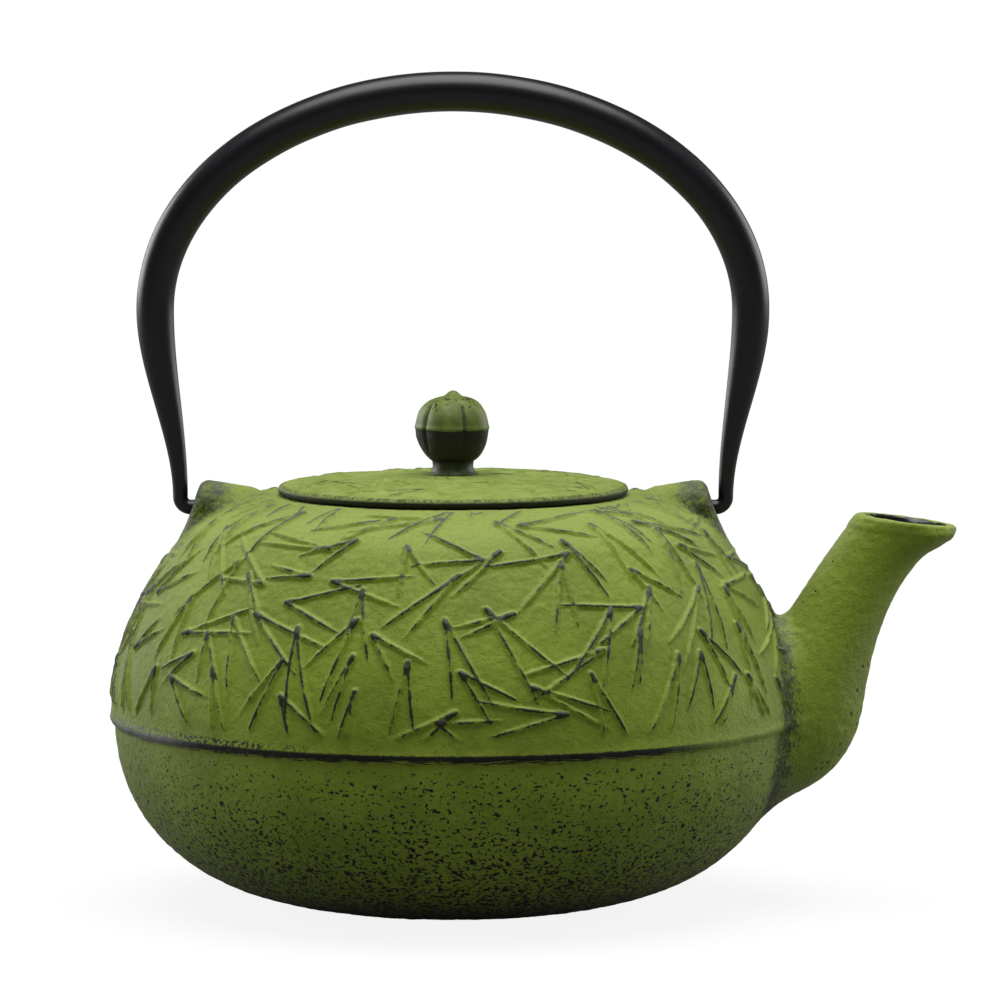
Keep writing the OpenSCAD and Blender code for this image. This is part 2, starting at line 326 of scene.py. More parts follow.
def lug_distance(x, y, z):
    """Distance to the two round-topped lugs, which rise and lean outwards"""
    out = np.abs(x) - LUG_IN
    up = (z - LUG_AXIS_H) * math.cos(LUG_TILT) - out * math.sin(LUG_TILT)
    spread = (LUG_FOOT - LUG_R) / LUG_DROP
    low = (np.abs(y) - LUG_R + spread * up) / math.hypot(1, spread)
    arch = np.where(up > 0, np.hypot(y, up) - LUG_R, low)
    face = np.hypot(x, y) - LUG_FACE_R - (PIVOT_H - z) * math.tan(LUG_FACE_LEAN)
    shape = round_max(arch, face * math.cos(LUG_FACE_LEAN), LUG_FILLET)
    shape = round_max(shape, -out * 0.8 + 1 - 0.35 * up, 4)
    return np.maximum(shape, 70 - z)


def pot_parts(points):
    """Distances to the parts of the casting, and to the whole of it"""
    x, y, z = points[:, 0], points[:, 1], points[:, 2]
    r = np.hypot(x, y)
    bowl = look_up(OUTSIDE_TABLE, ROUND_LOW, TABLE_STEP, r, z)
    hollow = look_up(HOLLOW_TABLE, ROUND_LOW, TABLE_STEP, r, z)
    spout, bore = spout_distances(x, y, z)
    lug = lug_distance(x, y, z)
    outside = round_min(round_min(bowl, spout, SPOUT_FILLET), lug, LUG_FILLET)
    inside = round_min(hollow, bore, BORE_FILLET)
    hole = np.maximum(np.hypot(y, z - PIVOT_H) - HOLE_R, HOLE_IN - np.abs(x))
    whole = round_max(round_max(outside, -inside, 0.8), -hole, 0.5)
    return {"bowl": bowl, "spout": spout, "lug": lug, "outside": outside, "inside": inside,
            "hole": hole, "whole": whole}


def pot_distance(points):
    """The distance to the whole casting alone"""
    return pot_parts(points)["whole"]


def slope(distance, points, step=0.12):
    """The direction in which a distance grows fastest, and how fast"""
    change = np.zeros_like(points)
    for axis in range(3):
        move = np.zeros(3)
        move[axis] = step
        change[:, axis] = (distance(points + move) - distance(points - move)) / (2 * step)
    return change


def settle(distance, points, rounds):
    """Moves points onto the surface where the distance is 0"""
    for _ in range(rounds):
        change = slope(distance, points)
        steep = np.maximum((change ** 2).sum(axis=1), 0.05)
        move = (distance(points) / steep)[:, None] * change
        points = points - np.clip(move, -1.5, 1.5)
    return points


def skin(distance, low, high, cell):
    """Quads over the surface of a distance: one point in each cell of a grid that it crosses"""
    axes = [np.arange(low[k], high[k] + cell, cell) for k in range(3)]
    shape = tuple(len(a) for a in axes)
    grid = np.stack(np.meshgrid(*axes, indexing="ij"), axis=-1).reshape(-1, 3)
    value = distance(grid).reshape(shape)
    iron = value < 0
    corners = list(np.ndindex(2, 2, 2))
    n = [s - 1 for s in shape]
    count = sum(
        iron[a:a + n[0], b:b + n[1], c:c + n[2]].astype(np.int8) for a, b, c in corners
    )
    cells = np.argwhere((count > 0) & (count < 8))
    number = np.full(n, -1)
    number[tuple(cells.T)] = np.arange(len(cells))
    total = np.zeros((len(cells), 3))
    hits = np.zeros(len(cells))
    for a in corners:
        for axis in range(3):
            if a[axis]:
                continue
            b = tuple(1 if k == axis else a[k] for k in range(3))
            va = value[tuple((cells + a).T)]
            vb = value[tuple((cells + b).T)]
            crossed = (va < 0) != (vb < 0)
            t = np.where(crossed, va / np.where(crossed, va - vb, 1), 0)
            point = cells + np.array(a) + t[:, None] * (np.array(b) - a)
            total += np.where(crossed[:, None], point, 0)
            hits += crossed
    points = np.array(low) + cell * total / hits[:, None]
    quads = []
    for axis in range(3):
        here = [slice(1, -1)] * 3
        there = [slice(1, -1)] * 3
        here[axis] = slice(0, -1)
        there[axis] = slice(1, None)
        goes_out = iron[tuple(here)] & ~iron[tuple(there)]
        goes_in = ~iron[tuple(here)] & iron[tuple(there)]
        for mask, turn in ((goes_out, 1), (goes_in, -1)):
            edge = np.argwhere(mask) + 1
            edge[:, axis] -= 1
            p, q = (axis + 1) % 3, (axis + 2) % 3
            ring = []
            for dp, dq in ((1, 1), (0, 1), (0, 0), (1, 0)):
                cell_at = edge.copy()
                cell_at[:, p] -= dp
                cell_at[:, q] -= dq
                ring.append(number[tuple(cell_at.T)])
            quads.append(np.stack(ring[::turn], axis=1))
    return points, np.vstack(quads)


# ---------------------------------------------------------------------------
# Pine needles in low relief, laid in pairs on a flat chart of the surface
# ---------------------------------------------------------------------------
CHART_CELL = 0.25
# The point on the pot's half section round which the chart of its upper half is measured
CHART_R = 40
CHART_H = 50


def lay_needles(size, across, pairs, apart, seed, wraps):
    """Charts of the needles' height and of the dark paint left on them, both 0 to 1.

    The chart is size mm wide and high, and across(v) is how many true mm a chart mm
    stands for, side to side, at height v. Needles come in pairs that hang from one sheath."""
    rng = np.random.default_rng(seed)
    shape = tuple(int(s / CHART_CELL) + 1 for s in size)
    height = np.zeros(shape)
    dark = np.zeros(shape)
    starts = []
    for _ in range(pairs * 40):
        if len(starts) == pairs:
            break
        u, v = rng.uniform(0, size[0]), rng.uniform(2, size[1] - 2)
        if rng.uniform() > across(v):
            continue
        if starts:
            near = np.array(starts)
            du = np.abs(near[:, 0] - u)
            du = (np.minimum(du, size[0] - du) if wraps else du) * across(v)
            if np.hypot(du, near[:, 1] - v).min() < apart:
                continue
        starts.append((u, v))
    for u, v in starts:
        heading = rng.normal(-0.5 * math.pi, 1.05)
        opening = math.radians(rng.choice([rng.uniform(9, 20), rng.uniform(20, 40)]))
        length = rng.uniform(15, 27)
        stain = rng.uniform(0.5, 1.15)
        u -= math.cos(heading) * length / 2 / across(v)
        v -= math.sin(heading) * length / 2
        for turn in (-0.5, 0.5):
            lay_needle(
                height, dark, across, wraps, (u, v), heading + turn * opening,
                length * rng.uniform(0.8, 1.05), rng.normal(0, 0.003),
                stain + rng.uniform(-0.25, 0.25), rng
            )
    return height, dark


def lay_needle(height, dark, across, wraps, start, heading, length, bend, stain, rng):
    """One needle: a ridge with a thicker sheath at its start and a thin tip"""
    step = 0.22
    n = int(length / step)
    along = np.arange(n) * step
    headings = heading + bend * along
    u = np.empty(n)
    v = np.empty(n)
    a, b = start
    for k in range(n):
        u[k] = a
        v[k] = b
        a += math.cos(headings[k]) * step / across(b)
        b += math.sin(headings[k]) * step
    sheath = 1 - ease(1.6, 2.8, along)
    tip = 1 - ease(length - 6, length, along)
    half = (0.74 + 0.26 * sheath) * (0.5 + 0.5 * tip)
    ink_half = (0.5 + 0.26 * sheath) * (0.7 + 0.3 * tip)
    high = (0.82 + 0.18 * sheath) * (0.4 + 0.6 * tip)
    wobble = np.interp(along, np.linspace(0, length, 11), rng.uniform(-0.45, 0.4, 11))
    stains = np.clip(stain + wobble + 0.35 * sheath, 0, 1.3)
    reach = 1.05
    scale = np.array([across(b) for b in v])
    wide = int(math.ceil(reach / (CHART_CELL * scale.min())))
    tall = int(math.ceil(reach / CHART_CELL))
    i = np.round(u / CHART_CELL).astype(int)[:, None, None] + np.arange(-wide, wide + 1)[:, None]
    j = np.round(v / CHART_CELL).astype(int)[:, None, None] + np.arange(-tall, tall + 1)
    i, j = np.broadcast_arrays(i, j)
    gap_u = (i * CHART_CELL - u[:, None, None]) * scale[:, None, None]
    gap_v = j * CHART_CELL - v[:, None, None]
    off = np.hypot(gap_u, gap_v)
    ridge = np.clip(1 - (off / half[:, None, None]) ** 2, 0, 1) ** 0.8
    ink = np.clip(1 - (off / ink_half[:, None, None]) ** 2, 0, 1) ** 0.5
    if wraps:
        i = i % (height.shape[0] - 1)
    ok = (i >= 0) & (i < height.shape[0]) & (j >= 0) & (j < height.shape[1]) & (ridge > 0)
    where = (i[ok], j[ok])
    np.maximum.at(height, where, (ridge * high[:, None, None])[ok])
    np.maximum.at(dark, where, (ink * stains[:, None, None])[ok])


# ---------------------------------------------------------------------------
# Meshes
# ---------------------------------------------------------------------------
def mesh_piece(name, points, faces, body, stands_for, materials):
    """Makes a smooth mesh piece from points in mm, moving with its body and hiding the CAD nodes it
    stands for
    """
    mesh = bpy.data.meshes.new(name)
    mesh.from_pydata((np.asarray(points, float) * MM).tolist(), [], faces)
    mesh.validate()
    return piece_from_mesh(name, mesh, body, stands_for, materials)


def piece_from_mesh(name, mesh, body, stands_for, materials):
    """Puts a mesh into the scene as a piece that moves with its body and hides its CAD nodes"""
    for material in materials:
        mesh.materials.append(material)
    mesh.polygons.foreach_set("use_smooth", [True] * len(mesh.polygons))
    piece = bpy.data.objects.new(name, mesh)
    bpy.context.scene.collection.objects.link(piece)
    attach(piece, body)
    if stands_for:
        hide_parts(*stands_for)
    return piece


def store(mesh, name, values):
    """Keeps one number for each point, for the materials to read"""
    attribute = mesh.attributes.new(name, "FLOAT", "POINT")
    attribute.data.foreach_set("value", np.asarray(values, np.float32))


def get_points(mesh):
    """A mesh's points as an array"""
    flat = np.empty(len(mesh.vertices) * 3, np.float32)
    mesh.vertices.foreach_get("co", flat)
    return flat.reshape(-1, 3).astype(float)


def set_points(mesh, points):
    """Moves a mesh's points, which are given in metres"""
    mesh.vertices.foreach_set("co", np.asarray(points, np.float32).ravel())
    mesh.update()


def turned_faces(rows, around, closed):
    """Faces over rings of points; a closed outline joins its last ring to its first"""
    faces = []
    last = rows if closed else rows - 1
    for i in range(last):
        j = (i + 1) % rows
        for k in range(around):
            m = (k + 1) % around
            faces.append((i * around + k, i * around + m, j * around + m, j * around + k))
    return faces


def capped_faces(rows, around):
    """Faces over rings of points, with both end rings filled"""
    last = (rows - 1) * around
    ends = [tuple(range(around))[::-1], tuple(last + k for k in range(around))]
    return turned_faces(rows, around, closed=False) + ends


def spin(outline, around):
    """The points of an outline of (r, z), turned about the z axis"""
    a = np.linspace(0, 2 * math.pi, around, endpoint=False)
    r = outline[:, 0][:, None]
    z = np.repeat(outline[:, 1][:, None], around, axis=1)
    return np.stack([r * np.cos(a), r * np.sin(a), z], axis=-1).reshape(-1, 3)


def turn_faces_out(piece, merge=None):
    """Turns a piece's faces outwards, and first joins its points closer than merge mm"""
    bm = bmesh.new()
    bm.from_mesh(piece.data)
    if merge:
        bmesh.ops.remove_doubles(bm, verts=bm.verts, dist=merge * MM)
    bmesh.ops.recalc_face_normals(bm, faces=bm.faces)
    bm.to_mesh(piece.data)
    bm.free()


def even_outline(outline, spacing):
    """The outline with points every spacing mm or closer, keeping its corners"""
    points = [outline[0]]
    for a, b in zip(outline[:-1], outline[1:]):
        n = max(1, int(math.ceil(np.hypot(*(np.array(b) - a)) / spacing)))
        points += [np.array(a) + (np.array(b) - a) * k / n for k in range(1, n + 1)]
    return np.array(points, float)


# ---------------------------------------------------------------------------
# Materials
# ---------------------------------------------------------------------------
def linear(colour):
    """An sRGB hex colour as the linear values that the shaders take"""
    parts = [int(colour[k:k + 2], 16) / 255 for k in (1, 3, 5)]
    return [c / 12.92 if c <= 0.04045 else ((c + 0.055) / 1.055) ** 2.4 for c in parts] + [1]


def new_material(name):
    """An empty material and its node tree"""
    material = bpy.data.materials.new(name)
    material.use_nodes = True
    material.node_tree.nodes.clear()
    return material, material.node_tree


def node(tree, kind, settings, sockets, take=0):
    """Adds a node with its settings and its sockets' values or links; gives back one output"""
    made = tree.nodes.new("ShaderNode" + kind)
    for name, value in settings.items():
        setattr(made, name, value)
    for name, value in sockets.items():
        if isinstance(value, bpy.types.NodeSocket):
            tree.links.new(value, made.inputs[name])
        else:
            made.inputs[name].default_value = value
    return made.outputs[take] if made.outputs else None


def surface_mm(tree, stretch=(1, 1, 1)):
    """The place on the piece in mm, stretched along each axis"""
    place = node(tree, "TexCoord", {}, {}, take="Object")
    scale = [s / MM for s in stretch]
    return node(tree, "VectorMath", {"operation": "MULTIPLY"}, {0: place, 1: scale})


def mottle(tree, place, size, detail=3.0, rough=0.55):
    """Noise from 0 to 1 with lumps of the given size in mm"""
    return node(tree, "TexNoise", {}, {
        "Vector": place, "Scale": 1 / size, "Detail": detail, "Roughness": rough
    })


def between(tree, value, low, high, to_low=0.0, to_high=1.0):
    """Where the value lies from low to high, eased, as a number from to_low to to_high"""
    return node(tree, "MapRange", {"interpolation_type": "SMOOTHSTEP"}, {
        "Value": value, "From Min": low, "From Max": high, "To Min": to_low, "To Max": to_high
    })


def work_out(tree, operation, a, b=0.0, c=0.0):
    """One sum on numbers or sockets"""
    return node(tree, "Math", {"operation": operation}, {0: a, 1: b, 2: c})


def all_of(tree, first, *others):
    """How far all the shares hold together"""
    for share in others:
        first = work_out(tree, "MULTIPLY", first, share)
    return first


def any_of(tree, first, *others):
    """How far the strongest of the shares holds"""
    for share in others:
        first = work_out(tree, "MAXIMUM", first, share)
    return first


def roughen(tree, value, noise, amount):
    """The value, moved up and down by a noise about its middle"""
    return work_out(tree, "MULTIPLY_ADD", work_out(tree, "SUBTRACT", noise, 0.5), amount, value)


def facing_up(tree):
    """1 where the surface faces up, 0 where it is upright, -1 where it faces down"""
    normal = node(tree, "NewGeometry", {}, {}, take="Normal")
    return node(tree, "SeparateXYZ", {}, {0: normal}, take=2)


def lay_over(tree, share, below, above):
    """Colour above laid over colour below by a share"""
    return node(tree, "Mix", {"data_type": "RGBA"}, {0: share, 6: below, 7: above}, take=2)


def finish_surface(tree, sockets):
    """Ends a material with its shader, on whose own sockets the constant values are set"""
    shader = node(tree, "BsdfPrincipled", {}, sockets)
    node(tree, "OutputMaterial", {}, {"Surface": shader})


def green_paint_on_iron():
    """Sprayed green enamel on sand-cast iron: satin, with black rubbed into the relief.

    It gives the eye a leaf green that turns pale where it faces up, partly a dusty coat and partly
    painted sheen, and darker low down, partly painted shade; broken black lines on the needles, black
    flecks low on the bowl and a grainy cast skin all over."""
    material, tree = new_material("green_enamel_on_sand_cast_iron")
    place = surface_mm(tree)
    level = surface_mm(tree, (0.9, 0.9, 1.35))
    x, z = [node(tree, "SeparateXYZ", {}, {0: place}, take=k) for k in (0, 2)]
    stain, spout, wear_and_shade = [
        node(tree, "Attribute", {"attribute_name": name}, {}, take="Fac")
        for name in ("stain", "spout", "wear_and_shade")
    ]
    broad = mottle(tree, place, 22, 4)
    medium = mottle(tree, place, 3.5, 5, 0.6)
    fine = mottle(tree, place, 0.9, 4, 0.65)
    grain = mottle(tree, place, 0.65, 3, 0.6)

    # The enamel itself, a little yellower or deeper from place to place
    green = lay_over(tree, between(tree, broad, 0.35, 0.65), linear("#687a1c"), linear("#788a26"))
    green = lay_over(
        tree, between(tree, medium, 0.35, 0.75, 0, 0.3), green, linear("#839535")
    )
    # Paler where it faces up: partly a dry coat where the spray came from above, partly painted sheen
    # of the light from above
    facing = facing_up(tree)
    dust_and_sheen = between(tree, facing, 0.35, 0.95, 0, 0.7)
    green = lay_over(tree, dust_and_sheen, green, linear("#98a855"))
    # Deeper towards the foot: partly darker paint, partly painted shade of the underside
    low_paint_and_shade = between(tree, z, 50, 6, 0, 0.4)
    green = lay_over(tree, low_paint_and_shade, green, linear("#566320"))
    # Grain: dark specks in the hollows of the cast skin
    specks = between(tree, grain, 0.54, 0.70, 0, 0.42)
    green = lay_over(tree, specks, green, linear("#3d471a"))

    # Black left on the crests of the needles
    ragged = roughen(tree, stain, fine, 1.3)
    needle_black = between(tree, ragged, 0.42, 0.8, 0, 0.95)
    # Short flecks on the lower half, more of them lower down
    fleck_noise = node(tree, "TexNoise", {}, {
        "Vector": level, "Scale": 1 / 0.95, "Detail": 0.5, "Roughness": 0.5, "Distortion": 0.7
    })
    patchy = roughen(tree, between(tree, z, 46, 4, 0.66, 0.515), broad, -0.04)
    flecks = between(tree, work_out(tree, "SUBTRACT", fleck_noise, patchy), 0.0, 0.03)
    off_spout = work_out(tree, "SUBTRACT", 1.0, spout)
    flecks = all_of(tree, flecks, off_spout, between(tree, z, 46.5, 43.5))
    # The seam, rubbed back to dark iron under its bead, with streaky edges
    streaks = mottle(tree, surface_mm(tree, (0.2, 0.2, 2.6)), 1.0, 4, 0.7)
    wave = roughen(tree, z, streaks, 6.0)
    low_edge = between(tree, wave, 46.7, 47.5)
    high_edge = between(tree, work_out(tree, "MULTIPLY_ADD", fine, 0.8, z), 49.7, 49.2)
    band = all_of(tree, low_edge, high_edge, between(tree, x, 74, 50, 0.1, 1.0))
    # To the left the black breaks up into specks over the bead
    left = between(tree, x, -10, -55)
    bead_specks = between(tree, work_out(tree, "MULTIPLY_ADD", left, 0.12, fine), 0.60, 0.66)
    on_bead = all_of(tree, between(tree, z, 46.6, 47.2), between(tree, z, 51.2, 50.2))
    bead_specks = all_of(tree, bead_specks, on_bead, left)
    band = all_of(tree, any_of(tree, band, bead_specks), off_spout)
    # Dark foot, partly darker paint at the base and partly painted shade of the underside; darker in
    # the corner of the spout; on the lugs, dark rubbed patches on their faces, partly painted shade,
    # and painted shade at their foot and sides
    foot = between(tree, work_out(tree, "MULTIPLY_ADD", fine, 8.0, z), 14, 5)
    patina_and_shade = roughen(tree, roughen(tree, wear_and_shade, fine, 1.6), medium, 1.2)
    patina_and_shade = between(tree, patina_and_shade, 0.4, 1.05, 0, 0.88)
    black = any_of(tree, needle_black, flecks, band, foot, patina_and_shade)
    # The black turns grey where it faces up: painted sheen of the light from above
    ink = lay_over(tree, between(tree, facing, 0.25, 0.85), linear("#14160e"), linear("#5a5f52"))
    worn = all_of(tree, band, between(tree, x, -62, -74, 0, 0.7))
    ink = lay_over(tree, worn, ink, linear("#6d706a"))
    colour = lay_over(tree, black, green, ink)

    rough = work_out(tree, "MULTIPLY_ADD", fine, 0.2, 0.52)
    skin_height = work_out(tree, "ADD", work_out(tree, "MULTIPLY", grain, 0.55),
                           work_out(tree, "MULTIPLY", fine, 0.45))
    skin_height = work_out(tree, "SUBTRACT", skin_height, work_out(tree, "MULTIPLY", flecks, 0.6))
    bumpy = node(tree, "Bump", {}, {"Strength": 1.0, "Distance": 0.42 * MM, "Height": skin_height})
    finish_surface(tree, {
        "Base Color": colour, "Roughness": rough, "Normal": bumpy, "IOR": 1.5,
        "Specular IOR Level": 0.22, "Sheen Weight": 0.07, "Sheen Roughness": 0.4,
    })
    return material


def black_enamel():
    """Vitreous black enamel inside the pot: smooth and glassy over the cast skin"""
    material, tree = new_material("black_vitreous_enamel")
    place = surface_mm(tree)
    orange_peel = mottle(tree, place, 2.4, 2)
    colour = lay_over(tree, orange_peel, linear("#0c0c0d"), linear("#19191a"))
    bumpy = node(tree, "Bump", {}, {"Strength": 0.4, "Distance": 0.15 * MM, "Height": orange_peel})
    finish_surface(tree, {
        "Base Color": colour, "Roughness": 0.3, "Normal": bumpy, "IOR": 1.52,
    })
    return material


def green_lid_paint():
    """The pot's enamel on the lid, paler than the bowl's: partly a dustier coat, partly painted sheen
    of the light from above; rubbed to dark iron round the rim, and black under the rim, partly painted
    shade
    """
    material, tree = new_material("green_enamel_on_lid_casting")
    place = surface_mm(tree)
    z = node(tree, "SeparateXYZ", {}, {0: place}, take=2)
    stain, rim = [
        node(tree, "Attribute", {"attribute_name": name}, {}, take="Fac")
        for name in ("stain", "rim")
    ]
    medium = mottle(tree, place, 4, 5, 0.6)
    fine = mottle(tree, place, 0.9, 4, 0.65)
    green = lay_over(tree, between(tree, medium, 0.3, 0.7), linear("#7c8e38"), linear("#95a656"))
    green = lay_over(tree, between(tree, fine, 0.55, 0.75, 0, 0.4), green, linear("#4d5a26"))
    ragged = roughen(tree, stain, fine, 1.2)
    on_needles = between(tree, ragged, 0.56, 0.9, 0, 0.7)
    on_rim = between(tree, roughen(tree, rim, fine, 1.5), 0.75, 1.25, 0, 0.8)
    # Black on the rim's lower half and on faces turned down: partly dark paint underneath, partly
    # painted shade of the gap under the rim
    below = between(tree, work_out(tree, "MULTIPLY_ADD", fine, 0.5, z), MOUTH_H + 2.6, MOUTH_H + 1.7)
    facing = facing_up(tree)
    black = any_of(tree, on_needles, on_rim, below, between(tree, facing, -0.1, -0.3))
    colour = lay_over(tree, black, green, linear("#15170f"))
    bumpy = node(tree, "Bump", {}, {"Strength": 0.9, "Distance": 0.3 * MM, "Height": fine})
    finish_surface(tree, {
        "Base Color": colour, "Roughness": work_out(tree, "MULTIPLY_ADD", fine, 0.2, 0.48),
        "Normal": bumpy, "IOR": 1.5, "Specular IOR Level": 0.3,
    })
    return material


def knob_paint():
    """Green enamel brushed on the knob's upper half, bare black iron below its parting line"""
    material, tree = new_material("green_over_black_on_knob_casting")
    place = surface_mm(tree)
    z = node(tree, "SeparateXYZ", {}, {0: place}, take=2)
    groove, dots = [
        node(tree, "Attribute", {"attribute_name": name}, {}, take="Fac")
        for name in ("groove", "dots")
    ]
    medium = mottle(tree, place, 2.2, 4, 0.6)
    fine = mottle(tree, place, 0.6, 4, 0.65)
    green = lay_over(tree, between(tree, medium, 0.3, 0.7), linear("#5f6f28"), linear("#7a8c3c"))
    green = lay_over(
        tree, between(tree, z, KNOB_PARTING_H + 8, KNOB_PARTING_H + 2, 0, 0.55),
        green, linear("#4a5427")
    )
    green = lay_over(tree, between(tree, groove, 0.25, 0.9, 0, 0.75), green, linear("#2c3319"))
    black = lay_over(tree, between(tree, fine, 0.5, 0.8, 0, 0.5), linear("#0a0b09"), linear("#181b12"))
    foot = between(tree, z, KNOB_FOOT_H + 3.5, KNOB_FOOT_H + 0.4)
    foot = all_of(tree, foot, between(tree, medium, 0.3, 0.7, 0.3, 0.9))
    black = lay_over(tree, foot, black, linear("#4f5c2c"))
    wave = roughen(tree, z, medium, 1.1)
    upper = between(tree, wave, KNOB_PARTING_H - 0.15, KNOB_PARTING_H + 0.15)
    colour = lay_over(tree, upper, black, green)
    colour = lay_over(tree, between(tree, dots, 0.35, 0.65), colour, linear("#16180f"))
    bumpy = node(tree, "Bump", {}, {"Strength": 0.5, "Distance": 0.15 * MM, "Height": fine})
    finish_surface(tree, {
        "Base Color": colour, "Roughness": work_out(tree, "MULTIPLY_ADD", fine, 0.18, 0.4),
        "Normal": bumpy, "IOR": 1.5, "Specular IOR Level": 0.4,
    })
    return material


def black_stoved_steel():
    """Forged steel bar under black stoving paint: satin, with a broad soft shine on top"""
    material, tree = new_material("satin_black_stoved_paint_on_forged_steel")
    place = surface_mm(tree)
    broad = mottle(tree, place, 14, 3)
    fine = mottle(tree, place, 0.7, 3)
    colour = lay_over(tree, broad, linear("#040409"), linear("#07070f"))
    worn = between(tree, mottle(tree, place, 1.6, 5, 0.7), 0.70, 0.76, 0, 0.5)
    colour = lay_over(tree, worn, colour, linear("#2c2c30"))
    rough = work_out(tree, "MULTIPLY_ADD", broad, 0.12, 0.28)
    height = work_out(tree, "MULTIPLY_ADD", fine, 0.25, broad)
    bumpy = node(tree, "Bump", {}, {"Strength": 0.25, "Distance": 0.3 * MM, "Height": height})
    finish_surface(tree, {
        "Base Color": colour, "Roughness": rough, "Normal": bumpy, "IOR": 1.5,
    })
    return material


def steel(name, light, dark, rough, stretch):
    """Bare sheet or turned steel: grey metal with the fine lines of its rolling or turning"""
    material, tree = new_material(name)
    lines = mottle(tree, surface_mm(tree, stretch), 0.5, 3)
    colour = lay_over(tree, lines, linear(dark), linear(light))
    bumpy = node(tree, "Bump", {}, {"Strength": 0.25, "Distance": 0.05 * MM, "Height": lines})
    finish_surface(tree, {
        "Base Color": colour, "Metallic": 1.0,
        "Roughness": work_out(tree, "MULTIPLY_ADD", lines, 0.15, rough), "Normal": bumpy,
    })
    return material


# ---------------------------------------------------------------------------
# The pot
# ---------------------------------------------------------------------------
def upper_chart():
    """The upper half's outline, the way up the wall to each of its points, and their angles"""
    profile = np.vstack([curve(UPPER_OUTSIDE, 60), curve(SHOULDER, 50)[1:]])
    steps = np.hypot(*np.diff(profile, axis=0).T)
    up = np.concatenate([[0], np.cumsum(steps)])
    angle = np.arctan2(profile[:, 1] - CHART_H, profile[:, 0] - CHART_R)
    return profile, up, angle


def pot_needles(points):
    """Height and stain of the needles at each point on the pot's upper half"""
    profile, up, angle = upper_chart()
    girth = 2 * math.pi * BOWL_R

    def across(v):
        """How many true mm a chart mm stands for at height v"""
        return float(np.interp(v, up, profile[:, 0])) / BOWL_R

    height, dark = lay_needles((girth, up[-1]), across, pairs=205, apart=9.2, seed=41, wraps=True)
    a = np.arctan2(points[:, 2] - CHART_H, np.hypot(points[:, 0], points[:, 1]) - CHART_R)
    v = np.interp(a, angle, up)
    u = (np.arctan2(points[:, 1], points[:, 0]) / (2 * math.pi) % 1) * girth
    above_seam = ease(1.2, 3.2, v) * (points[:, 2] > SEAM_H)
    below_rim = 1 - ease(up[-1] - 4, up[-1] - 1.5, v)
    fade = above_seam * below_rim
    ridge = look_up(height, (0, 0), CHART_CELL, u, v) * fade
    stain = look_up(dark, (0, 0), CHART_CELL, u, v) * fade
    return ridge, stain


def rough_pot_mesh():
    """The casting's surface as even quads: fine on the upper outside, coarse inside"""
    cell = 1.5
    points, quads = skin(pot_distance, (-95, -92, -3), (136, 92, 110), cell)
    points = settle(pot_distance, points, 1)
    mesh = bpy.data.meshes.new("pot")
    mesh.from_pydata(points.tolist(), [], quads.tolist())
    middle = points[quads].mean(axis=1)
    parts = pot_parts(middle)
    outer = parts["outside"] > -parts["inside"] - 0.5
    fine = outer & (middle[:, 2] > SEAM_H - 4)
    mesh.polygons.foreach_set("material_index", np.where(fine, 0, np.where(outer, 1, 2)))
    bm = bmesh.new()
    bm.from_mesh(mesh)
    for kind, cuts in ((0, 2), (1, 1)):
        edges = {e for f in bm.faces if f.material_index == kind for e in f.edges}
        bmesh.ops.subdivide_edges(
            bm, edges=[e for e in bm.edges if e in edges and e.calc_length() > 0.75 * cell / 2],
            cuts=cuts, use_grid_fill=True
        )
    bm.to_mesh(mesh)
    bm.free()
    return mesh


